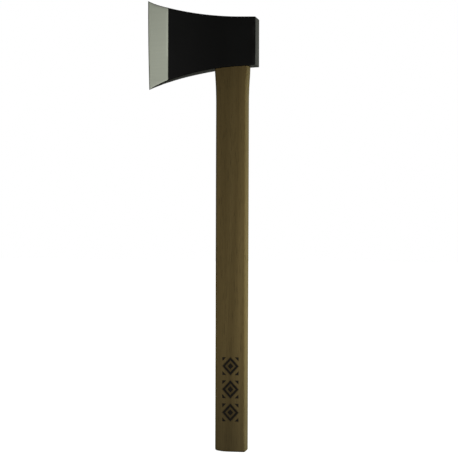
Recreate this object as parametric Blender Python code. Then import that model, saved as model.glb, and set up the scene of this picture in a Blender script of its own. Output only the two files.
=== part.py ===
"""A wooden-hafted hatchet: forged head, hickory handle, one wooden wedge and two stepped steel wedges.

Origin: middle of the handle's flat lower end. +Z runs up the handle, +X points from the bit to the poll and
Y is the thickness, with both sides alike. The sizes below are millimetres.
"""

import math

import bpy

MM = 0.001
GAP = 0.3

# Head: outline seen from the side, as (x, z) from the bit to the poll
TOP_EDGE = [
    (-102.7, 530.4), (-93.5, 526.2), (-80, 521.65), (-60, 516.45),
    (-40, 512.35), (-20, 509.4), (0, 507.6), (29.3, 506.6),
]
LOW_EDGE = [
    (-100.9, 424.8), (-93.5, 428.1), (-80, 433.5), (-60, 439.4),
    (-40, 443.8), (-20, 447.2), (0, 449.2), (29.3, 450.5),
]
BIT_BULGE = 0.45  # how far the cutting edge bows out past the line from heel to toe
SHOULDER_X = -76.3  # where the ground bevel ends
FLAT_X = -8.0  # where the cheeks become parallel
POLL_X = 29.3
POLL_THICK = 25.4
SHOULDER_THICK = 15.0
EDGE_THICK = 0.3
MICRO_LENGTH = 1.2
MICRO_THICK = 1.5
CHEEK_POWER = 1.5  # above 1 the cheeks run smoothly into the flat sides
FACET = (-52.0, -13.0)  # flat part of each cheek, on which the head lies still
HEAD_ROUND = 0.7
HEAD_ROWS = 8

# Eye: a tapered oval, wider at the top
EYE_LOW_Z = 448.0
EYE_TOP_Z = 508.0
EYE_LOW = (37.0, 15.6, 7.4, 0.7)  # width, depth, corner radius, crown on each broad side
EYE_TOP = (40.0, 17.4, 8.2, 0.8)

# Handle
HANDLE_DEPTH = 22.0
HANDLE_CORNER = 2.2
HANDLE_STRETCH = 3.0
HANDLE_WIDTHS = [
    (0, 36.8), (45, 36.75), (95, 36.7), (147, 36.7), (200, 36.9), (250, 36.9), (330, 37.0),
    (408, 36.95), (416, 37.2), (424, 37.65), (431, 38.3), (438, 39.2), (444, 39.9), (450, 40.2),
]
SEAT_RINGS = (408, 416, 424, 431, 438, 444)
END_ROUND = 2.0
END_FLAT_X = -3.0  # forward of this the lower end eases up
END_EASE = 0.0069
TOP_AT_AXIS = 507.6  # the sawn top of the wood
TOP_SLOPE = -0.06

# Kerf and wooden wedge
KERF_LOW_Z = 458.5
KERF_HALF = 0.7
WEDGE_LOW_Z = 464.0
WEDGE_LOW_HALF = 0.4
WEDGE_TOP_HALF = 2.5
WEDGE_END_GAP = 0.8

# Stepped steel wedges
STEEL_X = (-9.0, 9.0)
STEEL_WIDTH = 12.7
STEEL_LENGTH = 25.0
STEEL_TIP_HALF = 0.35
STEEL_TOP_HALF = 1.75
STEEL_STEP = 0.3
STEEL_STEPS = 3


def clear_scene():
    for obj in list(bpy.data.objects):
        bpy.data.objects.remove(obj, do_unlink=True)


def curve_at(points, x):
    """Smooth curve through the points (Catmull-Rom in x), read at x."""
    last = len(points) - 1
    i = 0
    while i < last - 1 and x > points[i + 1][0]:
        i += 1
    (x0, z0), (x1, z1) = points[i], points[i + 1]
    before = points[i - 1] if i > 0 else (2 * x0 - x1, 2 * z0 - z1)
    after = points[i + 2] if i + 2 <= last else (2 * x1 - x0, 2 * z1 - z0)
    slope0 = (z1 - before[1]) / (x1 - before[0])
    slope1 = (after[1] - z0) / (after[0] - x0)
    step = x1 - x0
    t = (x - x0) / step
    rise = (2 * t**3 - 3 * t**2 + 1) * z0 + (3 * t**2 - 2 * t**3) * z1
    return rise + (t**3 - 2 * t**2 + t) * step * slope0 + (t**3 - t**2) * step * slope1


def line_at(points, x):
    """Straight pieces through the points, read at x."""
    for (x0, y0), (x1, y1) in zip(points, points[1:]):
        if x <= x1:
            return y0 + (y1 - y0) * (x - x0) / (x1 - x0)
    return points[-1][1]


def cheek_curve(x):
    """Smooth head thickness from the shoulder of the bevel to the poll."""
    if x >= FLAT_X:
        return POLL_THICK
    left = (FLAT_X - x) / (FLAT_X - SHOULDER_X)
    return POLL_THICK - (POLL_THICK - SHOULDER_THICK) * left**CHEEK_POWER


def thickness_at(x):
    """Head thickness along that curve, but straight along the facet."""
    first, last = FACET
    if not first < x < last:
        return cheek_curve(x)
    share = (x - first) / (last - first)
    return cheek_curve(first) + (cheek_curve(last) - cheek_curve(first)) * share


def material(name, colour, metallic, roughness):
    made = bpy.data.materials.new(name)
    made.use_nodes = True
    shader = made.node_tree.nodes["Principled BSDF"]
    shader.inputs["Base Color"].default_value = (*colour, 1.0)
    shader.inputs["Metallic"].default_value = metallic
    shader.inputs["Roughness"].default_value = roughness
    made.diffuse_color = (*colour, 1.0)
    return made


def mesh_object(name, points, faces, surface=None):
    mesh = bpy.data.meshes.new(name)
    mesh.from_pydata([(x * MM, y * MM, z * MM) for x, y, z in points], [], faces)
    mesh.validate()
    made = bpy.data.objects.new(name, mesh)
    bpy.context.scene.collection.objects.link(made)
    if surface:
        mesh.materials.append(surface)
    return made


def cap(count, first, up):
    """Faces that close a ring whose point k mirrors point count - k, as strips across Y."""
    middle = count // 2
    strips = [(0, 1, 2, count - 2, count - 1)]
    strips += [(k, k + 1, count - k - 1, count - k) for k in range(2, middle - 2)]
    strips.append((middle - 2, middle - 1, middle, middle + 1, middle + 2))
    return [tuple(first + k for k in (strip if up else strip[::-1])) for strip in strips]


def loft(name, rings, surface=None):
    """Closed body through rings of equal length, each anticlockwise seen from the last one."""
    count = len(rings[0])
    points = [point for ring in rings for point in ring]
    faces = cap(count, 0, False)
    for r in range(len(rings) - 1):
        for k in range(count):
            after = (k + 1) % count
            low, high = r * count, (r + 1) * count
            faces.append((low + k, low + after, high + after, high + k))
    faces += cap(count, (len(rings) - 1) * count, True)
    return mesh_object(name, points, faces, surface)


def oval(width, depth, radius, crown=0.0, arc=5, side=4, stretch=1.0):
    """Rounded rectangle in X and Y, anticlockwise from its +X side, with crowned broad sides.

    A stretch above 1 makes the corners ellipses that reach further along the narrow sides.
    """
    radius_y = radius * stretch
    half_x, half_y = width / 2 - radius, depth / 2 - radius_y
    points = [(width / 2, 0.0)]
    for corner in range(4):
        sign_x = (1, -1, -1, 1)[corner]
        sign_y = (1, 1, -1, -1)[corner]
        for k in range(arc + 1):
            angle = math.radians(90 * (corner + k / arc))
            x = sign_x * half_x + radius * math.cos(angle)
            y = sign_y * half_y + radius_y * math.sin(angle)
            points.append((x, y))
        if corner in (0, 2):
            for k in range(1, side + 1):
                points.append((sign_x * half_x * (1 - 2 * k / (side + 1)), sign_y * depth / 2))
        if corner == 1:
            points.append((-width / 2, 0.0))
    half = width / 2
    return [(x, y * (1 + 2 * crown / depth * (1 - (x / half) ** 2))) for x, y in points]


def eye_ring(z, inset=0.0):
    share = (z - EYE_LOW_Z) / (EYE_TOP_Z - EYE_LOW_Z)
    width, depth, radius, crown = (a + (b - a) * share for a, b in zip(EYE_LOW, EYE_TOP))
    return oval(width - 2 * inset, depth - 2 * inset, radius - inset, crown)


def cut(target, cutter):
    """Takes the cutter out of the target, then drops the cutter."""
    modifier = target.modifiers.new("cut", "BOOLEAN")
    modifier.operation = "DIFFERENCE"
    modifier.solver = "EXACT"
    modifier.object = cutter
    graph = bpy.context.evaluated_depsgraph_get()
    made = bpy.data.meshes.new_from_object(target.evaluated_get(graph))
    target.modifiers.clear()
    target.data = made
    bpy.data.objects.remove(cutter, do_unlink=True)


def shade(obj, angle=28):
    for face in obj.data.polygons:
        face.use_smooth = True
    obj.data.set_sharp_from_angle(angle=math.radians(angle))


def head_section(half_thick, low, high, rounding):
    """(y, z) loop of the head across its thickness, anticlockwise seen from the bit."""
    points = []
    for k in range(HEAD_ROWS + 1):
        points.append((-half_thick, high - rounding + (low - high + 2 * rounding) * k / HEAD_ROWS))
    points.append((-half_thick + 0.3 * rounding, low + 0.3 * rounding))
    points.append((-half_thick + rounding, low))
    points.append((half_thick - rounding, low))
    points.append((half_thick - 0.3 * rounding, low + 0.3 * rounding))
    for k in range(HEAD_ROWS + 1):
        points.append((half_thick, low + rounding + (high - low - 2 * rounding) * k / HEAD_ROWS))
    points.append((half_thick - 0.3 * rounding, high - 0.3 * rounding))
    points.append((half_thick - rounding, high))
    points.append((-half_thick + rounding, high))
    points.append((-half_thick + 0.3 * rounding, high - 0.3 * rounding))
    return points


def head_ring(thick, rounding, x=None, behind_edge=None, inset=0.0):
    """One ring of the head: at x, or a share of the way from the cutting edge to the shoulder."""
    toe, heel = TOP_EDGE[0], LOW_EDGE[0]
    ring = []
    rows = head_section(0.5, 0.0, 1.0, 0.0)
    for k, (_, v) in enumerate(rows):
        if behind_edge is None:
            at = x
        else:
            edge = heel[0] + (toe[0] - heel[0]) * v - BIT_BULGE * 4 * v * (1 - v)
            at = edge + (SHOULDER_X - edge) * behind_edge
        low = curve_at(LOW_EDGE, max(at, heel[0])) + inset
        high = curve_at(TOP_EDGE, max(at, toe[0])) - inset
        y, z = head_section(thick / 2 - inset, low, high, rounding)[k]
        ring.append((at, y, z))
    return ring


def build_head(surface):
    bevel = -SHOULDER_X + TOP_EDGE[0][0]
    micro = MICRO_LENGTH / -bevel
    rings = [head_ring(EDGE_THICK, 0.05, behind_edge=0.0), head_ring(MICRO_THICK, 0.2, behind_edge=micro)]
    for share in (0.2, 0.4, 0.6, 0.8, 1.0):
        thick = MICRO_THICK + (SHOULDER_THICK - MICRO_THICK) * (share - micro) / (1 - micro)
        rings.append(head_ring(thick, min(HEAD_ROUND, 0.2 * thick), behind_edge=share))
    for x in (-68, -60, -52, -44, -36, -20, -13, FLAT_X, 4, 16, POLL_X - HEAD_ROUND):
        rings.append(head_ring(thickness_at(x), HEAD_ROUND, x=x))
    rings.append(head_ring(POLL_THICK, HEAD_ROUND, x=POLL_X - 0.3 * HEAD_ROUND, inset=0.3 * HEAD_ROUND))
    rings.append(head_ring(POLL_THICK, HEAD_ROUND * 0.6, x=POLL_X, inset=HEAD_ROUND))
    count = len(rings[0])
    points = [point for ring in rings for point in ring]
    faces = []
    for r in range(len(rings) - 1):
        for k in range(count):
            after = (k + 1) % count
            low, high = r * count, (r + 1) * count
            faces.append((low + k, low + after, high + after, high + k))
    near = list(range(HEAD_ROWS + 1))
    far = list(range(2 * HEAD_ROWS + 5, HEAD_ROWS + 4, -1))
    for start, flip in ((0, False), ((len(rings) - 1) * count, True)):
        strips = [(near[k], far[k], far[k + 1], near[k + 1]) for k in range(HEAD_ROWS)]
        strips.append(tuple(range(HEAD_ROWS + 5, HEAD_ROWS - 1, -1)))
        strips.append((0, *range(count - 1, 2 * HEAD_ROWS + 4, -1)))
        for strip in strips:
            turned = strip[::-1] if flip else strip
            faces.append(tuple(start + k for k in turned))
    head = mesh_object("axe_head", points, faces, surface)
    eye = [[(x, y, z) for x, y in eye_ring(z)] for z in (440.0, 480.0, 516.0)]
    cut(head, loft("eye_cutter", eye))
    shade(head)
    return head


def end_lift(x, z):
    """The lower end eases up toward the bit side."""
    return END_EASE * max(0.0, END_FLAT_X - x) ** 2 * max(0.0, 1 - z / 45)


def build_handle(surface):
    rings = []
    for step in range(4):
        angle = math.radians(30 * step)
        inset = END_ROUND * (1 - math.sin(angle))
        z = END_ROUND * (1 - math.cos(angle))
        width, depth = HANDLE_WIDTHS[0][1] - 2 * inset, HANDLE_DEPTH - 2 * inset
        ring = oval(width, depth, HANDLE_CORNER + 0.2 - inset, stretch=HANDLE_STRETCH)
        rings.append([(x, y, z + end_lift(x, z)) for x, y in ring])
    for z in [z for z, _ in HANDLE_WIDTHS[1:7]] + list(SEAT_RINGS):
        ring = oval(curve_at(HANDLE_WIDTHS, z), HANDLE_DEPTH, HANDLE_CORNER, stretch=HANDLE_STRETCH)
        rings.append([(x, y, z) for x, y in ring])
    seat = oval(HANDLE_WIDTHS[-1][1], HANDLE_DEPTH, HANDLE_CORNER, stretch=HANDLE_STRETCH)
    rings.append([(x, y, curve_at(LOW_EDGE, x) - GAP) for x, y in seat])
    rings.append([(x, y, curve_at(LOW_EDGE, x) - GAP) for x, y in eye_ring(EYE_LOW_Z, GAP)])
    for z in (456.0, 480.0):
        rings.append([(x, y, z) for x, y in eye_ring(z, GAP)])
    rings.append([(x, y, TOP_AT_AXIS + TOP_SLOPE * x) for x, y in eye_ring(TOP_AT_AXIS, GAP)])
    handle = loft("handle", rings, surface)
    cut(handle, kerf_cutter())
    for x in STEEL_X:
        cut(handle, steel_cutter(x))
    shade(handle)
    return handle


def prism_x(name, half_length, profile, surface=None):
    """Prism along X through (y, z) points that run anticlockwise seen from +X."""
    count = len(profile)
    points = [(-half_length, y, z) for y, z in profile] + [(half_length, y, z) for y, z in profile]
    faces = [tuple(range(count))[::-1], tuple(range(count, 2 * count))]
    faces += [(k, (k + 1) % count, count + (k + 1) % count, count + k) for k in range(count)]
    return mesh_object(name, points, faces, surface)


def prism_y(name, x, half_length, profile, surface=None):
    """Prism along Y through (x, z) points that run anticlockwise seen from -Y."""
    count = len(profile)
    points = [(x + a, -half_length, z) for a, z in profile] + [(x + a, half_length, z) for a, z in profile]
    faces = [tuple(range(count)), tuple(range(count, 2 * count))[::-1]]
    faces += [(k, count + k, count + (k + 1) % count, (k + 1) % count) for k in range(count)]
    return mesh_object(name, points, faces, surface)


def wedge_half(z):
    share = (z - WEDGE_LOW_Z) / (TOP_AT_AXIS - WEDGE_LOW_Z)
    return WEDGE_LOW_HALF + (WEDGE_TOP_HALF - WEDGE_LOW_HALF) * share


def kerf_cutter():
    high = TOP_AT_AXIS + 6
    top = wedge_half(high) + GAP
    profile = [(-KERF_HALF, KERF_LOW_Z), (KERF_HALF, KERF_LOW_Z), (KERF_HALF, WEDGE_LOW_Z - GAP), (top, high)]
    profile += [(-top, high), (-KERF_HALF, WEDGE_LOW_Z - GAP)]
    return prism_x("kerf_cutter", 26.0, profile)


def build_wooden_wedge(surface):
    low_x = eye_ring(WEDGE_LOW_Z)[0][0] - WEDGE_END_GAP
    top_x = eye_ring(TOP_AT_AXIS)[0][0] - WEDGE_END_GAP
    low, top = WEDGE_LOW_HALF, WEDGE_TOP_HALF
    points = []
    for half_x, half_y, z, slope in ((low_x, low, WEDGE_LOW_Z, 0.0), (top_x, top, TOP_AT_AXIS, TOP_SLOPE)):
        for sign_x, sign_y in ((1, -1), (1, 1), (-1, 1), (-1, -1)):
            points.append((sign_x * half_x, sign_y * half_y, z + slope * sign_x * half_x))
    faces = [(3, 2, 1, 0), (4, 5, 6, 7), (0, 1, 5, 4), (1, 2, 6, 5), (2, 3, 7, 6), (3, 0, 4, 7)]
    wedge = mesh_object("wooden_wedge", points, faces, surface)
    for x in STEEL_X:
        cut(wedge, steel_cutter(x))
    return wedge


def steel_top(x):
    return TOP_AT_AXIS + TOP_SLOPE * x - 0.2


def steel_cutter(x):
    low, high = steel_top(x) - STEEL_LENGTH, TOP_AT_AXIS + 6
    tip, top = STEEL_TIP_HALF + GAP, STEEL_TOP_HALF + GAP
    above = top + (top - tip) * (high - low - STEEL_LENGTH) / STEEL_LENGTH
    profile = [(-tip, low - GAP), (tip, low - GAP), (above, high), (-above, high)]
    return prism_y("steel_cutter", x, STEEL_WIDTH / 2 + GAP, profile)


def build_steel_wedge(name, x, surface):
    """A wedge whose faces fall back in steps, so that it can't work loose."""
    low = steel_top(x) - STEEL_LENGTH
    side = [(STEEL_TIP_HALF - 0.1, low)]
    for k in range(1, STEEL_STEPS + 1):
        share = k / STEEL_STEPS
        z = low + STEEL_LENGTH * share
        half = STEEL_TIP_HALF + (STEEL_TOP_HALF - STEEL_TIP_HALF) * share
        side.append((half, z - (1.5 if k < STEEL_STEPS else 0.0)))
        if k < STEEL_STEPS:
            side.append((half - STEEL_STEP, z - 0.9))
    profile = side + [(-a, z) for a, z in reversed(side)]
    return prism_y(name, x, STEEL_WIDTH / 2, profile, surface)


def main():
    clear_scene()
    build_head(material("painted_steel", (0.012, 0.012, 0.013), 0.0, 0.45))
    build_handle(material("hickory", (0.16, 0.10, 0.045), 0.0, 0.55))
    build_wooden_wedge(material("wedge_wood", (0.30, 0.20, 0.10), 0.0, 0.6))
    steel = material("wedge_steel", (0.45, 0.45, 0.44), 1.0, 0.4)
    build_steel_wedge("steel_wedge_front", STEEL_X[0], steel)
    build_steel_wedge("steel_wedge_rear", STEEL_X[1], steel)


main()
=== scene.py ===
"""Looks of a wooden-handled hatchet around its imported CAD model: head, bevel, handle and wedges."""

import math

import bmesh
import bpy
from mathutils import Matrix


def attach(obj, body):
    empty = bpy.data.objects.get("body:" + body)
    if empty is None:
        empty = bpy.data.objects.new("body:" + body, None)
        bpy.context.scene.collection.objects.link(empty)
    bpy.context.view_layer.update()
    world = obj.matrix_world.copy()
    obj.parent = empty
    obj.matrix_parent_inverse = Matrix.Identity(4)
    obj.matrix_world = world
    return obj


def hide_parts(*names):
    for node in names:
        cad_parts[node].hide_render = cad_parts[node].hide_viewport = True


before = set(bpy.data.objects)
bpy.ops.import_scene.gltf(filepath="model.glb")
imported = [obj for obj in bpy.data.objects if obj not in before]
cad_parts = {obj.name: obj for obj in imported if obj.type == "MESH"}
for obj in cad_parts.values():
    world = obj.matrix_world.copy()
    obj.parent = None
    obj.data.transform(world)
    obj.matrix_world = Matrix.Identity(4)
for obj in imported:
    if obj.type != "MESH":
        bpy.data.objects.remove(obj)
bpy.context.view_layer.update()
MM = 0.001
FACING = 0.9  # least share of a face's normal along an axis that it faces
ASIDE = 0.2  # most share of it along an axis that it doesn't face

# Camera, metres and degrees
CAMERA_DISTANCE = 1.565
CAMERA_TURN = 11.3  # about +Z, from -Y toward +X
CAMERA_AIM = (-0.00381, 0.0, 0.25986)
CAMERA_ROLL = 0.18
CAMERA_WIDTH = 458 * 1.174 * MM  # seen at the aim point
SENSOR = 36.0

# Light: the room as seen from the object, then the power of each panel in watts
WORLD_FRONT = 0.1
WORLD_BACK = 0.56
WORLD_FADE = (-0.15, 0.55)  # direction's Y over which the dim front turns into the bright backdrop
WORLD_BELOW = 0.2  # share of that light which comes from under the floor's level
BELOW_FADE = (-0.30, -0.10)  # direction's Z over which it falls to that share
WORLD_TINT = (0.97, 1.0, 0.86)
KEY_POWER = 1.03
FILL_POWER = 1.2
RIM_POWER = 3.7
RIM_TINT = (0.88, 1.0, 0.82)
FLOOR_GLOW = 0.92
FLOOR_HALF = 9000.0  # millimetres
FLOOR_GAP = 0.0002  # metres below the handle's end

# Head, millimetres
TOP_EDGE = [
    (-102.7, 530.4), (-93.5, 526.2), (-80, 521.65), (-60, 516.45),
    (-40, 512.35), (-20, 509.4), (0, 507.6), (29.3, 506.6),
]
LOW_EDGE = [
    (-100.9, 424.8), (-93.5, 428.1), (-80, 433.5), (-60, 439.4),
    (-40, 443.8), (-20, 447.2), (0, 449.2), (29.3, 450.5),
]
BIT_BULGE = 0.45
SHOULDER_X = -76.3
FLAT_X = -8.0
POLL_X = 29.3
POLL_THICK = 25.4
SHOULDER_THICK = 15.0
EDGE_THICK = 0.14
EDGE_ROUND = 0.03
MICRO_LENGTH = 1.2
MICRO_THICK = 1.5
MICRO_ROUND = 0.18
CHEEK_POWER = 1.5
HEAD_ROUND = 0.7
LEAST_ROUND = 0.06
HEAD_ROWS = 24
HEAD_ARC = 6
HEAD_COLS = 4
BEVEL_SHARES = (0.12, 0.2, 0.3, 0.4, 0.5, 0.6, 0.7, 0.8, 0.9, 1.0)  # places of the rings across the bevel
CHEEK_STEP = 3.0
FLAT_STEP = 4.0
RIM_REACH = 1.6  # how far the rubbed rims reach in, as the sum of two distances
CREASE_X = -70.0  # the ground bevel's creases are on the bit side of it

# Eye, millimetres
EYE_LOW_Z = 448.0
EYE_TOP_Z = 508.0
EYE_LOW = (37.0, 15.6, 7.4, 0.7)
EYE_TOP = (40.0, 17.4, 8.2, 0.8)
GAP = 0.3

# Handle, millimetres
HANDLE_DEPTH = 22.0
HANDLE_CORNER = 2.2
HANDLE_STRETCH = 3.0
HANDLE_CROWN = 0.3
HANDLE_WIDTHS = [
    (0, 36.8), (45, 36.75), (95, 36.7), (147, 36.7), (200, 36.9), (250, 36.9), (330, 37.0),
    (408, 36.95), (416, 37.2), (424, 37.65), (431, 38.3), (438, 39.2), (444, 39.9), (450, 40.2),
]
END_ROUND = 2.0
END_FLAT_X = -3.0
END_EASE = 0.0069
END_REACH = 45.0
END_STEPS = 7
GRIP_RINGS = (6.0, 405.0, 7.0)  # height of the first and the last, and about the step
FLARE_RINGS = (408.0, 444.0, 2.4)
TONGUE_Z = (456.0, 480.0)
SAWN_EASE = ((0.5, 0.0), (0.15, 0.15), (0.0, 0.5))  # (drop, inset) of the rings at the top's broken edge
SAWN_Z = (4.0, 500.0)  # faces across the grain below the first and above the second are sawn ends
TOP_AT_AXIS = 507.6
TOP_SLOPE = -0.06
KERF_LOW_Z = 458.5
KERF_HALF = 0.7
WEDGE_LOW_Z = 464.0
WEDGE_LOW_HALF = 0.4
WEDGE_TOP_HALF = 2.5
STEEL_X = (-9.0, 9.0)
STEEL_WIDTH = 12.7
STEEL_LENGTH = 25.0
STEEL_TIP_HALF = 0.35
STEEL_TOP_HALF = 1.75
STEEL_BELOW = 0.2  # how far the steel wedges end below the sawn top
KERF_FIT = 0.08  # gap to the wooden wedge at its top
STEEL_FIT = 0.1  # gap to the steel wedges
WOOD_EASE = 0.25  # broken edges of the wooden wedge
STEEL_EASE = 0.2
CUT_ABOVE = 6.0  # how far the cutters reach above the sawn top
KERF_LENGTH_HALF = 26.0
EYE_CUT_Z = (440.0, 480.0, 516.0)

# Burnt-in decoration: lozenges in a column on the broad side toward -Y
MARK_X = 0.6
MARK_Z = (46.0, 73.0, 100.0)
MARK_HALF = (9.6, 10.4)
MARK_STROKE = 2.4
MARK_CORE = 3.4
MARK_CORNER = 4.6
MARK_DEPTH = 0.4
MARK_FIT = 0.03  # how near to that depth a face is on a mark's floor
MARKED_SIDE_Y = -0.009  # metres; the halo is only on the side beyond it
MARK_ROOM = 15  # past the column's first and last centre
MARK_ROOM_X = 12.5

# Painted shade up the handle, where the light falls off toward both ends, (share of its length, factor):
# darker near both ends
WOOD_LENGTH = 0.5
WOOD_SHADE_UP = [
    (0.0, 0.87), (0.06, 0.91), (0.14, 1.01), (0.24, 1.11), (0.5, 1.15),
    (0.68, 1.13), (0.8, 1.10), (0.9, 0.99), (1.0, 0.98),
]
# Painted light across the handle, lighter toward the poll side where the side light falls, (share from the
# bit side to the poll side, factor)
WOOD_HALF = 0.018
WOOD_SIDE_LIGHT = [(0.0, 1.08), (0.2, 1.02), (0.45, 0.97), (0.65, 1.02), (0.85, 1.20), (1.0, 1.16)]
GREY_END = 0.13  # height over which the greyer lower end fades out

# Painted shade and light along the head's paint, darker toward the shoulder and lighter toward the poll,
# (share from the shoulder to the poll, factor)
PAINT_SHADE = [(0.0, 0.70), (0.5, 0.62), (0.75, 1.35), (1.0, 1.50)]


# ---------------------------------------------------------------- shape helpers


def curve_at(points, x):
    """Smooth curve through the points (Catmull-Rom in x), read at x."""
    last = len(points) - 1
    i = 0
    while i < last - 1 and x > points[i + 1][0]:
        i += 1
    (x0, z0), (x1, z1) = points[i], points[i + 1]
    before = points[i - 1] if i > 0 else (2 * x0 - x1, 2 * z0 - z1)
    after = points[i + 2] if i + 2 <= last else (2 * x1 - x0, 2 * z1 - z0)
    slope0 = (z1 - before[1]) / (x1 - before[0])
    slope1 = (after[1] - z0) / (after[0] - x0)
    step = x1 - x0
    t = (x - x0) / step
    rise = (2 * t**3 - 3 * t**2 + 1) * z0 + (3 * t**2 - 2 * t**3) * z1
    return rise + (t**3 - 2 * t**2 + t) * step * slope0 + (t**3 - t**2) * step * slope1


def thickness_at(x):
    """Head thickness from the shoulder of the bevel to the poll."""
    if x >= FLAT_X:
        return POLL_THICK
    left = (FLAT_X - x) / (FLAT_X - SHOULDER_X)
    return POLL_THICK - (POLL_THICK - SHOULDER_THICK) * left**CHEEK_POWER


def spread(low, high, step):
    """Even places from low to high, about a step apart."""
    count = max(1, round((high - low) / step))
    return [low + (high - low) * k / count for k in range(count + 1)]


def mesh_object(name, points, faces):
    mesh = bpy.data.meshes.new(name)
    mesh.from_pydata([(x * MM, y * MM, z * MM) for x, y, z in points], [], faces)
    made = bpy.data.objects.new(name, mesh)
    bpy.context.scene.collection.objects.link(made)
    return made


def cap(count, first, up):
    """Faces that close a ring whose point k mirrors point count - k, as strips across Y."""
    middle = count // 2
    strips = [(0, 1, 2, count - 2, count - 1)]
    strips += [(k, k + 1, count - k - 1, count - k) for k in range(2, middle - 2)]
    strips.append((middle - 2, middle - 1, middle, middle + 1, middle + 2))
    return [tuple(first + k for k in (strip if up else strip[::-1])) for strip in strips]


def loft_sides(rings):
    count = len(rings[0])
    faces = []
    for r in range(len(rings) - 1):
        for k in range(count):
            after = (k + 1) % count
            low, high = r * count, (r + 1) * count
            faces.append((low + k, low + after, high + after, high + k))
    return faces


def loft(name, rings):
    """Closed body through rings of equal length, each anticlockwise seen from the last one."""
    count = len(rings[0])
    faces = cap(count, 0, False) + loft_sides(rings) + cap(count, (len(rings) - 1) * count, True)
    return mesh_object(name, [point for ring in rings for point in ring], faces)


def oval(width, depth, radius, crown=0.0, arc=8, side=24, stretch=1.0):
    """Rounded rectangle; a stretch above 1 makes its corners ellipses that reach along the narrow sides."""
    radius_y = radius * stretch
    half_x, half_y = width / 2 - radius, depth / 2 - radius_y
    points = [(width / 2, 0.0)]
    for corner in range(4):
        sign_x = (1, -1, -1, 1)[corner]
        sign_y = (1, 1, -1, -1)[corner]
        for k in range(arc + 1):
            angle = math.radians(90 * (corner + k / arc))
            x = sign_x * half_x + radius * math.cos(angle)
            y = sign_y * half_y + radius_y * math.sin(angle)
            points.append((x, y))
        if corner in (0, 2):
            for k in range(1, side + 1):
                points.append((sign_x * half_x * (1 - 2 * k / (side + 1)), sign_y * depth / 2))
        if corner == 1:
            points.append((-width / 2, 0.0))
    half = width / 2
    return [(x, y * (1 + 2 * crown / depth * (1 - (x / half) ** 2))) for x, y in points]


def eye_ring(z, inset=0.0):
    share = (z - EYE_LOW_Z) / (EYE_TOP_Z - EYE_LOW_Z)
    width, depth, radius, crown = (a + (b - a) * share for a, b in zip(EYE_LOW, EYE_TOP))
    return oval(width - 2 * inset, depth - 2 * inset, radius - inset, crown)


def cut(target, cutter):
    """Takes the cutter out of the target, then drops the cutter."""
    modifier = target.modifiers.new("cut", "BOOLEAN")
    modifier.operation = "DIFFERENCE"
    modifier.solver = "EXACT"
    modifier.object = cutter
    graph = bpy.context.evaluated_depsgraph_get()
    made = bpy.data.meshes.new_from_object(target.evaluated_get(graph))
    target.modifiers.clear()
    target.data = made
    bpy.data.objects.remove(cutter, do_unlink=True)


def prism_x(name, half_length, profile):
    """Prism along X through (y, z) points that run anticlockwise seen from +X."""
    count = len(profile)
    points = [(-half_length, y, z) for y, z in profile] + [(half_length, y, z) for y, z in profile]
    faces = [tuple(range(count))[::-1], tuple(range(count, 2 * count))]
    faces += [(k, (k + 1) % count, count + (k + 1) % count, count + k) for k in range(count)]
    return mesh_object(name, points, faces)


def prism_y(name, x, half_length, profile):
    """Prism along Y through (x, z) points that run anticlockwise seen from -Y."""
    count = len(profile)
    points = [(x + a, -half_length, z) for a, z in profile] + [(x + a, half_length, z) for a, z in profile]
    faces = [tuple(range(count)), tuple(range(count, 2 * count))[::-1]]
    faces += [(k, count + k, count + (k + 1) % count, (k + 1) % count) for k in range(count)]
    return mesh_object(name, points, faces)


# ---------------------------------------------------------------- node helpers


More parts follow.
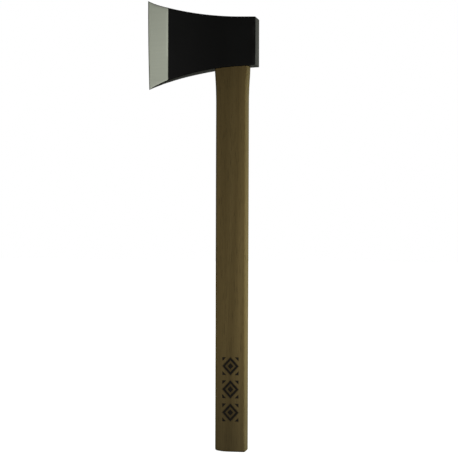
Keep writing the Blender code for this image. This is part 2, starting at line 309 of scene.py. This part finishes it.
class Nodes:
    """A material's node tree, built with short calls."""

    def __init__(self, name):
        self.material = bpy.data.materials.new(name)
        self.material.use_nodes = True
        self.tree = self.material.node_tree
        self.shader = self.tree.nodes["Principled BSDF"]
        self.object_coordinates = self.add("ShaderNodeTexCoord").outputs["Object"]

    def add(self, kind, **settings):
        node = self.tree.nodes.new(kind)
        for key, value in settings.items():
            setattr(node, key, value)
        return node

    def link(self, source, target):
        self.tree.links.new(source, target)

    def feed(self, socket, value):
        if isinstance(value, bpy.types.NodeSocket):
            self.link(value, socket)
        else:
            socket.default_value = value

    def math(self, operation, *values, clamp=False):
        """One Math node on numbers or sockets."""
        node = self.add("ShaderNodeMath", operation=operation, use_clamp=clamp)
        for k, value in enumerate(values):
            self.feed(node.inputs[k], value)
        return node.outputs[0]

    def scaled(self, *scale):
        """Object coordinates times a scale for each axis, or one for all."""
        node = self.add("ShaderNodeMapping")
        self.link(self.object_coordinates, node.inputs["Vector"])
        node.inputs["Scale"].default_value = scale if len(scale) == 3 else scale * 3
        return node.outputs[0]

    def noise(self, vector, detail=3.0, rough=0.5):
        node = self.add("ShaderNodeTexNoise")
        self.link(vector, node.inputs["Vector"])
        node.inputs["Scale"].default_value = 1.0
        node.inputs["Detail"].default_value = detail
        node.inputs["Roughness"].default_value = rough
        return node.outputs["Fac"]

    def range(self, value, low, high, to_low=0.0, to_high=1.0, smooth=False):
        node = self.add("ShaderNodeMapRange", interpolation_type="SMOOTHSTEP" if smooth else "LINEAR")
        self.feed(node.inputs["Value"], value)
        node.inputs["From Min"].default_value = low
        node.inputs["From Max"].default_value = high
        node.inputs["To Min"].default_value = to_low
        node.inputs["To Max"].default_value = to_high
        return node.outputs[0]

    def ramp(self, value, stops):
        node = self.add("ShaderNodeValToRGB")
        self.link(value, node.inputs[0])
        elements = node.color_ramp.elements
        while len(elements) < len(stops):
            elements.new(0.5)
        for element, (place, colour) in zip(elements, stops):
            element.position = place
            element.color = (*colour, 1.0)
        return node.outputs[0]

    def curve(self, value, stops):
        """Smooth curve through (place from 0 to 1, height up to 2) points."""
        node = self.add("ShaderNodeFloatCurve")
        self.link(value, node.inputs["Value"])
        line = node.mapping.curves[0]
        node.mapping.clip_max_y = 2.0
        while len(line.points) < len(stops):
            line.points.new(0.5, 0.5)
        for point, (place, height) in zip(line.points, stops):
            point.location = (place, height)
        node.mapping.update()
        return node.outputs[0]

    def gray(self, value):
        """The value as a colour."""
        node = self.add("ShaderNodeCombineColor")
        for socket in node.inputs:
            self.link(value, socket)
        return node.outputs[0]

    def mix(self, share, a, b, blend="MIX"):
        node = self.add("ShaderNodeMix", data_type="RGBA", blend_type=blend)
        self.feed(node.inputs[0], share)
        self.feed(node.inputs[6], a if isinstance(a, bpy.types.NodeSocket) else (*a, 1.0))
        self.feed(node.inputs[7], b if isinstance(b, bpy.types.NodeSocket) else (*b, 1.0))
        return node.outputs[2]

    def bump(self, height, distance, strength, under=None):
        node = self.add("ShaderNodeBump")
        self.link(height, node.inputs["Height"])
        node.inputs["Distance"].default_value = distance
        node.inputs["Strength"].default_value = strength
        if under is not None:
            self.link(under, node.inputs["Normal"])
        return node.outputs[0]

    def separate(self, vector):
        node = self.add("ShaderNodeSeparateXYZ")
        self.link(vector, node.inputs[0])
        return node.outputs

    def attribute(self, name):
        return self.add("ShaderNodeAttribute", attribute_name=name).outputs["Fac"]

    def finish(self, colour, roughness, normal, metallic=0.0, specular=0.5):
        self.link(colour, self.shader.inputs["Base Color"])
        self.link(roughness, self.shader.inputs["Roughness"])
        self.link(normal, self.shader.inputs["Normal"])
        self.shader.inputs["Metallic"].default_value = metallic
        self.shader.inputs["Specular IOR Level"].default_value = specular
        return self.material


# ---------------------------------------------------------------- materials


def paint_material():
    """Black enamel over a forging: faint orange peel, dust and rubbed rims, with painted shade and light
    along the head.
    """
    n = Nodes("black_enamel")
    cloudy = n.noise(n.scaled(22), detail=4)
    peel = n.noise(n.scaled(900), detail=2)
    forged = n.noise(n.scaled(70), detail=3)
    specks = n.noise(n.scaled(1500), detail=1)
    dust = n.range(specks, 0.70, 0.80)
    colour = n.ramp(cloudy, [(0.3, (0.0042, 0.0042, 0.0040)), (0.7, (0.0068, 0.0068, 0.0066))])
    x = n.separate(n.object_coordinates)[0]
    # Painted shade and light: the paint darker toward the shoulder and lighter toward the poll.
    tone = n.curve(n.range(x, SHOULDER_X * MM, POLL_X * MM), PAINT_SHADE)
    colour = n.mix(1.0, colour, n.gray(tone), "MULTIPLY")
    colour = n.mix(n.math("MULTIPLY", dust, 0.35), colour, (0.05, 0.05, 0.048))
    rub = n.range(n.noise(n.scaled(160, 160, 60), detail=5, rough=0.65), 0.5, 0.72)
    worn = n.math("MULTIPLY", n.attribute("rim"), rub, clamp=True)
    colour = n.mix(n.math("MULTIPLY", worn, 0.75), colour, (0.055, 0.056, 0.055))
    rough = n.math("ADD", n.range(cloudy, 0.2, 0.8, 0.40, 0.50), n.range(peel, 0.3, 0.7, -0.03, 0.03))
    normal = n.bump(peel, 0.00002, 0.6)
    normal = n.bump(forged, 0.00012, 0.5, under=normal)
    return n.finish(colour, rough, normal, specular=0.16)


def steel_material(name, tone, roughness, line_scale):
    """Ground steel: fine scratches that run back from the edge, slight clouding."""
    n = Nodes(name)
    lines = n.noise(n.scaled(45, 45, line_scale), detail=5, rough=0.7)
    coarse = n.noise(n.scaled(18, 18, 420), detail=3)
    cloudy = n.noise(n.scaled(30, 30, 26), detail=3)
    shade = n.math("ADD", n.math("MULTIPLY", lines, 0.6), n.math("MULTIPLY", coarse, 0.4))
    dark = tuple(0.95 * c for c in tone)
    light = tuple(1.03 * c for c in tone)
    colour = n.ramp(shade, [(0.36, dark), (0.64, light)])
    colour = n.mix(n.range(cloudy, 0.35, 0.75, 0.0, 0.35), colour, dark)
    rough = n.range(lines, 0.3, 0.7, roughness - 0.03, roughness + 0.03)
    normal = n.bump(lines, 0.000008, 0.35)
    return n.finish(colour, rough, normal, metallic=1.0)


def wood_grain(n):
    """(tone from 0 to 1, pores, long streaks) of wood whose grain runs along Z."""
    warp = n.noise(n.scaled(35, 35, 2.2), detail=2)
    x, y = n.separate(n.object_coordinates)[:2]
    across = n.math("ADD", n.math("MULTIPLY", y, 300.0), n.math("MULTIPLY", x, 95.0))
    across = n.math("ADD", across, n.math("MULTIPLY", warp, 5.5))
    ring = n.math("PINGPONG", across, 1.0)
    streak = n.noise(n.scaled(560, 560, 6), detail=5, rough=0.65)
    fine = n.noise(n.scaled(2200, 2200, 22), detail=3, rough=0.6)
    broad = n.noise(n.scaled(70, 70, 3.0), detail=3)
    tone = n.math("ADD", n.math("MULTIPLY", ring, 0.16), n.math("MULTIPLY", streak, 0.32))
    tone = n.math("ADD", tone, n.math("MULTIPLY", fine, 0.26))
    tone = n.math("ADD", tone, n.math("MULTIPLY", broad, 0.26))
    pores = n.range(n.noise(n.scaled(2600, 2600, 70), detail=2), 0.58, 0.70)
    return tone, pores, streak


def mark_distance(n):
    """Share of the lozenge's size, 1 on its outline, repeated up the column; and 1 in the column's band."""
    x, _, z = n.separate(n.object_coordinates)
    pitch = (MARK_Z[1] - MARK_Z[0]) * MM
    along = n.math("ADD", n.math("SUBTRACT", z, MARK_Z[0] * MM), pitch / 2)
    cell = n.math("SUBTRACT", n.math("FLOORED_MODULO", along, pitch), pitch / 2)
    side = n.math("DIVIDE", n.math("ABSOLUTE", n.math("SUBTRACT", x, MARK_X * MM)), MARK_HALF[0] * MM)
    up = n.math("DIVIDE", n.math("ABSOLUTE", cell), MARK_HALF[1] * MM)
    below_top = n.math("LESS_THAN", along, len(MARK_Z) * pitch)
    inside = n.math("MULTIPLY", n.math("GREATER_THAN", along, 0.0), below_top)
    return n.math("ADD", side, up), inside


def hickory_material(end_grain=False):
    """Oiled hickory with a scorched halo round each mark, or its sawn ends; with painted light across the
    handle and painted shade toward its ends.
    """
    n = Nodes("hickory_end" if end_grain else "hickory")
    tone, pores, streak = wood_grain(n)
    stops = [
        (0.30, (0.128, 0.090, 0.034)),
        (0.50, (0.160, 0.114, 0.044)),
        (0.68, (0.190, 0.138, 0.055)),
    ]
    colour = n.ramp(tone, stops)
    colour = n.mix(n.math("MULTIPLY", pores, 0.60), colour, (0.050, 0.034, 0.014))
    x, y, z = n.separate(n.object_coordinates)
    # Painted light and shade: lighter toward the poll side, darker toward both ends of the handle.
    side = n.curve(n.range(x, -WOOD_HALF, WOOD_HALF), WOOD_SIDE_LIGHT)
    # Painted shade: the wood darker toward both ends of the handle.
    up = n.curve(n.range(z, 0.0, WOOD_LENGTH), WOOD_SHADE_UP)
    colour = n.mix(n.range(z, 0.0, GREY_END, 0.24, 0.0), colour, (0.150, 0.128, 0.074))
    colour = n.mix(1.0, colour, n.gray(n.math("MULTIPLY", side, up)), "MULTIPLY")
    if end_grain:
        colour = n.mix(0.45, colour, (0.050, 0.034, 0.015))
        rough = n.range(streak, 0.3, 0.7, 0.62, 0.78)
        normal = n.bump(n.noise(n.scaled(1800), detail=3), 0.00015, 0.6)
        return n.finish(colour, rough, normal, specular=0.3)
    distance, inside = mark_distance(n)
    halo = n.range(distance, 1.0, 1.22, 0.34, 0.0, smooth=True)
    near_side = n.math("LESS_THAN", y, MARKED_SIDE_Y)
    halo = n.math("MULTIPLY", n.math("MULTIPLY", halo, inside), near_side)
    colour = n.mix(halo, colour, (0.035, 0.023, 0.012))
    rough = n.range(streak, 0.3, 0.7, 0.50, 0.62)
    height = n.math("SUBTRACT", tone, n.math("MULTIPLY", pores, 0.8))
    normal = n.bump(height, 0.00006, 0.7)
    return n.finish(colour, rough, normal, specular=0.05)


def char_material():
    n = Nodes("burnt_wood")
    grain = n.noise(n.scaled(900, 900, 40), detail=4, rough=0.7)
    colour = n.ramp(grain, [(0.35, (0.006, 0.005, 0.004)), (0.7, (0.020, 0.015, 0.010))])
    normal = n.bump(grain, 0.00012, 0.8)
    return n.finish(colour, n.range(grain, 0.3, 0.7, 0.7, 0.9), normal, specular=0.25)


def wedge_wood_material():
    n = Nodes("wedge_hardwood")
    streak = n.noise(n.scaled(90, 700, 700), detail=4, rough=0.6)
    pores = n.range(n.noise(n.scaled(2500), detail=2), 0.60, 0.72)
    colour = n.ramp(streak, [(0.3, (0.20, 0.135, 0.07)), (0.7, (0.33, 0.24, 0.13))])
    colour = n.mix(n.math("MULTIPLY", pores, 0.5), colour, (0.09, 0.055, 0.028))
    normal = n.bump(streak, 0.00012, 0.6)
    return n.finish(colour, n.range(streak, 0.3, 0.7, 0.58, 0.72), normal, specular=0.3)


def wedge_steel_material():
    n = Nodes("wedge_steel")
    scratch = n.noise(n.scaled(900, 90, 900), detail=4, rough=0.65)
    spots = n.range(n.noise(n.scaled(420), detail=4), 0.52, 0.68)
    colour = n.ramp(scratch, [(0.35, (0.30, 0.30, 0.295)), (0.65, (0.46, 0.46, 0.45))])
    colour = n.mix(n.math("MULTIPLY", spots, 0.5), colour, (0.16, 0.11, 0.075))
    rough = n.range(scratch, 0.3, 0.7, 0.34, 0.5)
    return n.finish(colour, rough, n.bump(scratch, 0.00005, 0.6), metallic=1.0)


# ---------------------------------------------------------------- head


def head_loop(half, low, high, radius):
    """(y, z) loop across the head: near side down, under side, far side up, top."""
    quarter = [math.radians(90 * k / HEAD_ARC) for k in range(1, HEAD_ARC + 1)]
    inner = half - radius
    loop = [(-half, high - radius + (low - high + 2 * radius) * k / HEAD_ROWS) for k in range(HEAD_ROWS + 1)]
    loop += [(-inner - radius * math.cos(a), low + radius - radius * math.sin(a)) for a in quarter]
    loop += [(-inner + 2 * inner * k / HEAD_COLS, low) for k in range(1, HEAD_COLS + 1)]
    loop += [(inner + radius * math.sin(a), low + radius - radius * math.cos(a)) for a in quarter]
    rise = high - low - 2 * radius
    loop += [(half, low + radius + rise * k / HEAD_ROWS) for k in range(1, HEAD_ROWS + 1)]
    loop += [(inner + radius * math.cos(a), high - radius + radius * math.sin(a)) for a in quarter]
    loop += [(inner - 2 * inner * k / HEAD_COLS, high) for k in range(1, HEAD_COLS + 1)]
    loop += [(-inner - radius * math.sin(a), high - radius + radius * math.cos(a)) for a in quarter[:-1]]
    return loop


def head_ring(thick, radius, x=None, behind_edge=None, inset=0.0):
    """One ring of the head: at x, or a share of the way from the cutting edge to the shoulder."""
    toe, heel = TOP_EDGE[0], LOW_EDGE[0]
    ring = []
    for k, (_, v) in enumerate(head_loop(0.5, 0.0, 1.0, 0.0)):
        at = x
        if behind_edge is not None:
            edge = heel[0] + (toe[0] - heel[0]) * v - BIT_BULGE * 4 * v * (1 - v)
            at = edge + (SHOULDER_X - edge) * behind_edge
        low = curve_at(LOW_EDGE, max(at, heel[0])) + inset
        high = curve_at(TOP_EDGE, max(at, toe[0])) - inset
        y, z = head_loop(thick / 2 - inset, low, high, radius)[k]
        ring.append((at, y, z))
    return ring


def head_rings():
    """Rings of the honed edge, the ground bevel, the cheeks and flats, and the poll's rounded rim."""
    micro = MICRO_LENGTH / (SHOULDER_X - TOP_EDGE[0][0])
    rings = [head_ring(EDGE_THICK, EDGE_ROUND, behind_edge=0.0)]
    rings.append(head_ring(MICRO_THICK, MICRO_ROUND, behind_edge=micro))
    for share in BEVEL_SHARES:
        thick = MICRO_THICK + (SHOULDER_THICK - MICRO_THICK) * (share - micro) / (1 - micro)
        rings.append(head_ring(thick, min(HEAD_ROUND, 0.2 * thick), behind_edge=share))
    cheek = spread(SHOULDER_X, FLAT_X, CHEEK_STEP)[1:]
    for x in cheek + spread(FLAT_X, POLL_X - HEAD_ROUND, FLAT_STEP)[1:]:
        rings.append(head_ring(thickness_at(x), HEAD_ROUND, x=x))
    for k in range(1, HEAD_ARC + 1):
        angle = math.radians(90 * k / HEAD_ARC)
        inset = HEAD_ROUND * (1 - math.cos(angle))
        x = POLL_X - HEAD_ROUND + HEAD_ROUND * math.sin(angle)
        rings.append(head_ring(POLL_THICK, max(LEAST_ROUND, HEAD_ROUND * math.cos(angle)), x=x, inset=inset))
    return rings


def head_ends(count, last):
    """Faces that close the first ring, at the edge, and the last, at the poll."""
    far = HEAD_ROWS + 2 * HEAD_ARC + HEAD_COLS
    faces = []
    for start, flip in ((0, False), (last, True)):
        strips = [(k, far + HEAD_ROWS - k, far + HEAD_ROWS - k - 1, k + 1) for k in range(HEAD_ROWS)]
        strips.append(tuple(range(far, HEAD_ROWS - 1, -1)))
        strips.append((0, *range(count - 1, far + HEAD_ROWS - 1, -1)))
        faces += [tuple(start + k for k in (strip[::-1] if flip else strip)) for strip in strips]
    return faces


def add_rim_mask(obj):
    """1 on the head's outer rims, where paint rubs off first, fading within a few millimetres."""
    layer = obj.data.attributes.new("rim", "FLOAT", "POINT")
    for vertex in obj.data.vertices:
        x, y, z = (c / MM for c in vertex.co)
        to_top = curve_at(TOP_EDGE, max(x, TOP_EDGE[0][0])) - z
        to_low = z - curve_at(LOW_EDGE, max(x, LOW_EDGE[0][0]))
        to_poll = POLL_X - x
        half = thickness_at(max(x, SHOULDER_X)) / 2
        to_side = half - abs(y)
        nearest = sorted((to_top, to_low, to_poll, to_side))[:2]
        layer.data[vertex.index].value = max(0.0, 1 - (nearest[0] + nearest[1]) / RIM_REACH)


def mark_sharp(obj, angle, flat_angle=9.0):
    """Sharp edges by angle, and a lower angle for the creases of the ground bevel."""
    mesh = bmesh.new()
    mesh.from_mesh(obj.data)
    for face in mesh.faces:
        face.smooth = True
    for edge in mesh.edges:
        if len(edge.link_faces) != 2:
            continue
        turn = math.degrees(edge.calc_face_angle(0.0))
        flat = all(abs(face.normal.z) < ASIDE for face in edge.link_faces)
        on_bevel = edge.verts[0].co.x < CREASE_X * MM and flat
        edge.smooth = not (turn > angle or (on_bevel and turn > flat_angle))
    mesh.to_mesh(obj.data)
    mesh.free()


def build_head():
    rings = head_rings()
    count = len(rings[0])
    faces = loft_sides(rings) + head_ends(count, (len(rings) - 1) * count)
    head = mesh_object("hatchet_head", [point for ring in rings for point in ring], faces)
    for made in (paint_material(), steel_material("ground_bevel", (0.60, 0.63, 0.53), 0.38, 2600)):
        head.data.materials.append(made)
    head.data.materials.append(steel_material("honed_edge", (0.60, 0.62, 0.55), 0.30, 4200))
    # Faces between rings come first, ring by ring, and in each the two flat sides carry the bevel
    far_first = HEAD_ROWS + 2 * HEAD_ARC + HEAD_COLS
    on_flat = set(range(HEAD_ROWS)) | set(range(far_first, far_first + HEAD_ROWS))
    for index, face in enumerate(head.data.polygons):
        ring, k = divmod(index, count)
        if ring == 0:
            face.material_index = 2
        elif ring <= len(BEVEL_SHARES) and k in on_flat:
            face.material_index = 1
    cut(head, loft("eye_cutter", [[(x, y, z) for x, y in eye_ring(z)] for z in EYE_CUT_Z]))
    mark_sharp(head, 25)
    add_rim_mask(head)
    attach(head, "root")
    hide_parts("axe_head")
    return head


# ---------------------------------------------------------------- handle


def end_lift(x, z):
    """The lower end eases up toward the bit side, fading out within END_REACH of the end."""
    return END_EASE * max(0.0, END_FLAT_X - x) ** 2 * max(0.0, 1 - z / END_REACH)


def handle_outline(width, inset=0.0, radius=HANDLE_CORNER):
    """Section of the grip, whose crowned broad sides reach its full depth."""
    depth = HANDLE_DEPTH - 2 * HANDLE_CROWN - 2 * inset
    return oval(width - 2 * inset, depth, radius, HANDLE_CROWN, stretch=HANDLE_STRETCH)


def handle_rings():
    """Rings of the rounded lower end, the grip, the seat under the head, and the tongue to its sawn top."""
    rings = []
    for step in range(END_STEPS + 1):
        angle = math.radians(90 * step / END_STEPS)
        inset = END_ROUND * (1 - math.sin(angle))
        z = END_ROUND * (1 - math.cos(angle))
        ring = handle_outline(HANDLE_WIDTHS[0][1], inset, HANDLE_CORNER - inset)
        rings.append([(x, y, z + end_lift(x, z)) for x, y in ring])
    for z in spread(*GRIP_RINGS) + spread(*FLARE_RINGS):
        ring = handle_outline(curve_at(HANDLE_WIDTHS, z))
        rings.append([(x, y, z + end_lift(x, z)) for x, y in ring])
    rings.append([(x, y, curve_at(LOW_EDGE, x) - GAP) for x, y in handle_outline(HANDLE_WIDTHS[-1][1])])
    rings.append([(x, y, curve_at(LOW_EDGE, x) - GAP) for x, y in eye_ring(EYE_LOW_Z, GAP)])
    for z in TONGUE_Z:
        rings.append([(x, y, z) for x, y in eye_ring(z, GAP)])
    for drop, inset in SAWN_EASE:
        ring = eye_ring(TOP_AT_AXIS, GAP + inset)
        rings.append([(x, y, TOP_AT_AXIS + TOP_SLOPE * x - drop) for x, y in ring])
    return rings


def wedge_half(z):
    share = (z - WEDGE_LOW_Z) / (TOP_AT_AXIS - WEDGE_LOW_Z)
    return WEDGE_LOW_HALF + (WEDGE_TOP_HALF - WEDGE_LOW_HALF) * share


def kerf_cutter():
    high = TOP_AT_AXIS + CUT_ABOVE
    top = wedge_half(high) + KERF_FIT
    low = KERF_HALF
    profile = [(-low, KERF_LOW_Z), (low, KERF_LOW_Z), (low, WEDGE_LOW_Z - GAP), (top, high)]
    profile += [(-top, high), (-low, WEDGE_LOW_Z - GAP)]
    return prism_x("kerf_cutter", KERF_LENGTH_HALF, profile)


def steel_top(x):
    return TOP_AT_AXIS + TOP_SLOPE * x - STEEL_BELOW


def steel_cutter(x):
    low, high = steel_top(x) - STEEL_LENGTH, TOP_AT_AXIS + CUT_ABOVE
    tip, top = STEEL_TIP_HALF + STEEL_FIT, STEEL_TOP_HALF + STEEL_FIT
    above = top + (top - tip) * (high - low - STEEL_LENGTH) / STEEL_LENGTH
    profile = [(-tip, low - GAP), (tip, low - GAP), (above, high), (-above, high)]
    return prism_y("steel_cutter", x, STEEL_WIDTH / 2 + STEEL_FIT, profile)


def mark_shapes():
    """Closed (x, z) outlines of one motif, each with an optional inner outline."""
    wide, tall = MARK_HALF
    thin = 1 - MARK_STROKE * math.hypot(wide, tall) / (wide * tall)
    lozenge = [(0, -tall), (wide, 0), (0, tall), (-wide, 0)]
    hole = [(thin * x, thin * z) for x, z in lozenge]
    core = [(MARK_CORE / wide * x, MARK_CORE / wide * z) for x, z in lozenge]
    corners = []
    for sx, sz in ((1, -1), (1, 1), (-1, 1), (-1, -1)):
        x, z = sx * wide, sz * tall
        points = [(x, z), (x, z - sz * MARK_CORNER), (x - sx * MARK_CORNER, z)]
        corners.append(points if sx * sz > 0 else points[::-1])
    return [(lozenge, hole), (core, None)] + [(points, None) for points in corners]


def mark_cutter():
    """Shallow prisms of every motif as one mesh, sunk MARK_DEPTH below the broad side."""
    front, back = -HANDLE_DEPTH / 2 - 1.0, -HANDLE_DEPTH / 2 + MARK_DEPTH
    points, faces = [], []
    for mark_z in MARK_Z:
        for outline, hole in mark_shapes():
            count, first = len(outline), len(points)
            loops = [outline] + ([hole] if hole else [])
            for y in (front, back):
                for loop in loops:
                    points += [(MARK_X + x, y, mark_z + z) for x, z in loop]
            layer = count * len(loops)
            for k in range(count):
                after = (k + 1) % count
                low, high = first, first + layer
                faces.append((low + k, high + k, high + after, low + after))
                if hole:
                    inner_low, inner_high = low + count, high + count
                    faces.append((inner_low + k, inner_low + after, inner_high + after, inner_high + k))
                    faces.append((low + k, low + after, inner_low + after, inner_low + k))
                    faces.append((high + k, inner_high + k, inner_high + after, high + after))
            if not hole:
                faces.append(tuple(range(first, first + count)))
                faces.append(tuple(range(first + layer + count - 1, first + layer - 1, -1)))
    made = mesh_object("mark_cutter", points, faces)
    tidy = bmesh.new()
    tidy.from_mesh(made.data)
    bmesh.ops.recalc_face_normals(tidy, faces=tidy.faces)
    tidy.to_mesh(made.data)
    tidy.free()
    return made


def build_handle():
    handle = loft("hickory_handle", handle_rings())
    cut(handle, kerf_cutter())
    for x in STEEL_X:
        cut(handle, steel_cutter(x))
    cut(handle, mark_cutter())
    for made in (hickory_material(), hickory_material(end_grain=True), char_material()):
        handle.data.materials.append(made)
    floor_y = (-HANDLE_DEPTH / 2 + MARK_DEPTH) * MM
    for face in handle.data.polygons:
        centre = face.center
        if abs(face.normal.z) > FACING and not SAWN_Z[0] * MM <= centre.z <= SAWN_Z[1] * MM:
            face.material_index = 1
        in_column = MARK_Z[0] - MARK_ROOM < centre.z / MM < MARK_Z[-1] + MARK_ROOM
        on_column = in_column and abs(centre.x) < MARK_ROOM_X * MM
        sunk = abs(centre.y - floor_y) < MARK_FIT * MM and face.normal.y < -FACING
        wall = centre.y < 0 and abs(face.normal.y) < ASIDE
        if on_column and (sunk or wall):
            face.material_index = 2
    mark_sharp(handle, 28)
    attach(handle, "root")
    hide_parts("handle")
    return handle


# ---------------------------------------------------------------- wedges


def finish_node(name, made, ease):
    """A CAD wedge keeps its shape, with broken edges and its own material."""
    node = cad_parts[name]
    weld = node.modifiers.new("weld", "WELD")
    weld.merge_threshold = 0.00001
    soften = node.modifiers.new("soften", "BEVEL")
    soften.width = ease * MM
    soften.segments = 2
    soften.limit_method = "ANGLE"
    soften.angle_limit = math.radians(25)
    soften.harden_normals = False
    if not node.material_slots:
        node.data.materials.append(made)
    for slot in node.material_slots:
        slot.material = made


# ---------------------------------------------------------------- stage


def build_camera():
    data = bpy.data.cameras.new("camera")
    data.sensor_width = SENSOR
    data.lens = SENSOR * CAMERA_DISTANCE / CAMERA_WIDTH
    data.clip_start, data.clip_end = 0.05, 50.0
    camera = bpy.data.objects.new("camera", data)
    bpy.context.scene.collection.objects.link(camera)
    turn = math.radians(CAMERA_TURN)
    place = (
        CAMERA_AIM[0] + CAMERA_DISTANCE * math.sin(turn),
        CAMERA_AIM[1] - CAMERA_DISTANCE * math.cos(turn),
        CAMERA_AIM[2],
    )
    upright = Matrix.Rotation(turn, 4, "Z") @ Matrix.Rotation(math.radians(90), 4, "X")
    roll = Matrix.Rotation(math.radians(CAMERA_ROLL), 4, "Z")
    camera.matrix_world = Matrix.Translation(place) @ upright @ roll
    bpy.context.scene.camera = camera


def build_world():
    """White to the camera; as light, a bright backdrop behind, a dim room in front and little from below."""
    world = bpy.data.worlds.new("studio")
    bpy.context.scene.world = world
    world.use_nodes = True
    tree = world.node_tree
    tree.nodes.clear()
    output = tree.nodes.new("ShaderNodeOutputWorld")
    mix = tree.nodes.new("ShaderNodeMixShader")
    seen = tree.nodes.new("ShaderNodeBackground")
    seen.inputs["Color"].default_value = (1, 1, 1, 1)
    seen.inputs["Strength"].default_value = 1.0
    light = tree.nodes.new("ShaderNodeBackground")
    path = tree.nodes.new("ShaderNodeLightPath")
    coordinates = tree.nodes.new("ShaderNodeTexCoord")
    parts = tree.nodes.new("ShaderNodeSeparateXYZ")
    fade = tree.nodes.new("ShaderNodeMapRange")
    fade.interpolation_type = "SMOOTHSTEP"
    fade.inputs["From Min"].default_value = WORLD_FADE[0]
    fade.inputs["From Max"].default_value = WORLD_FADE[1]
    fade.inputs["To Min"].default_value = WORLD_FRONT
    fade.inputs["To Max"].default_value = WORLD_BACK
    links = tree.links
    links.new(coordinates.outputs["Generated"], parts.inputs[0])
    links.new(parts.outputs["Y"], fade.inputs["Value"])
    light.inputs["Color"].default_value = (*WORLD_TINT, 1)
    below = tree.nodes.new("ShaderNodeMapRange")
    below.inputs["From Min"].default_value = BELOW_FADE[0]
    below.inputs["From Max"].default_value = BELOW_FADE[1]
    below.inputs["To Min"].default_value = WORLD_BELOW
    below.inputs["To Max"].default_value = 1.0
    both = tree.nodes.new("ShaderNodeMath")
    both.operation = "MULTIPLY"
    links.new(parts.outputs["Z"], below.inputs["Value"])
    links.new(fade.outputs[0], both.inputs[0])
    links.new(below.outputs[0], both.inputs[1])
    links.new(both.outputs[0], light.inputs["Strength"])
    links.new(path.outputs["Is Camera Ray"], mix.inputs[0])
    links.new(light.outputs[0], mix.inputs[1])
    links.new(seen.outputs[0], mix.inputs[2])
    links.new(mix.outputs[0], output.inputs[0])


def build_floor():
    """A white floor that the camera sees; it adds no light to the object, which the world does instead."""
    made = bpy.data.materials.new("white_floor")
    made.use_nodes = True
    shader = made.node_tree.nodes["Principled BSDF"]
    shader.inputs["Base Color"].default_value = (0.8, 0.8, 0.8, 1)
    shader.inputs["Roughness"].default_value = 0.9
    shader.inputs["Specular IOR Level"].default_value = 0.1
    shader.inputs["Emission Color"].default_value = (1, 1, 1, 1)
    shader.inputs["Emission Strength"].default_value = FLOOR_GLOW
    far = FLOOR_HALF
    corners = [(-far, -far, 0), (far, -far, 0), (far, far, 0), (-far, far, 0)]
    floor = mesh_object("floor", corners, [(0, 1, 2, 3)])
    floor.location.z = -FLOOR_GAP
    floor.data.materials.append(made)
    floor.visible_diffuse = False
    floor.visible_glossy = False
    floor.visible_shadow = False


def area_light(name, azimuth, distance, height, size, power, tint=(1, 1, 1)):
    """A soft upright panel that faces the handle's axis, azimuth in degrees from -Y toward +X."""
    data = bpy.data.lights.new(name, "AREA")
    data.shape = "RECTANGLE"
    data.size, data.size_y = size
    data.energy = power
    data.color = tint
    lamp = bpy.data.objects.new(name, data)
    bpy.context.scene.collection.objects.link(lamp)
    turn = math.radians(azimuth)
    place = (distance * math.sin(turn), -distance * math.cos(turn), height)
    upright = Matrix.Rotation(turn, 4, "Z") @ Matrix.Rotation(math.radians(90), 4, "X")
    lamp.matrix_world = Matrix.Translation(place) @ upright
    lamp.visible_camera = False


def build_stage():
    """Room, floor and three panels, each with its azimuth, distance, height and size in metres."""
    build_world()
    build_floor()
    area_light("key_left", -36, 1.1, 0.48, (0.5, 0.5), KEY_POWER)
    area_light("front_fill", 50, 0.5, 0.17, (0.25, 0.25), FILL_POWER)
    area_light("right_rim", 112, 0.9, 0.15, (0.5, 0.6), RIM_POWER, RIM_TINT)


build_camera()
build_stage()
build_head()
build_handle()
finish_node("wooden_wedge", wedge_wood_material(), WOOD_EASE)
steel = wedge_steel_material()
finish_node("steel_wedge_front", steel, STEEL_EASE)
finish_node("steel_wedge_rear", steel, STEEL_EASE)
bpy.context.scene.view_settings.view_transform = "Standard"
bpy.context.scene.view_settings.look = "None"
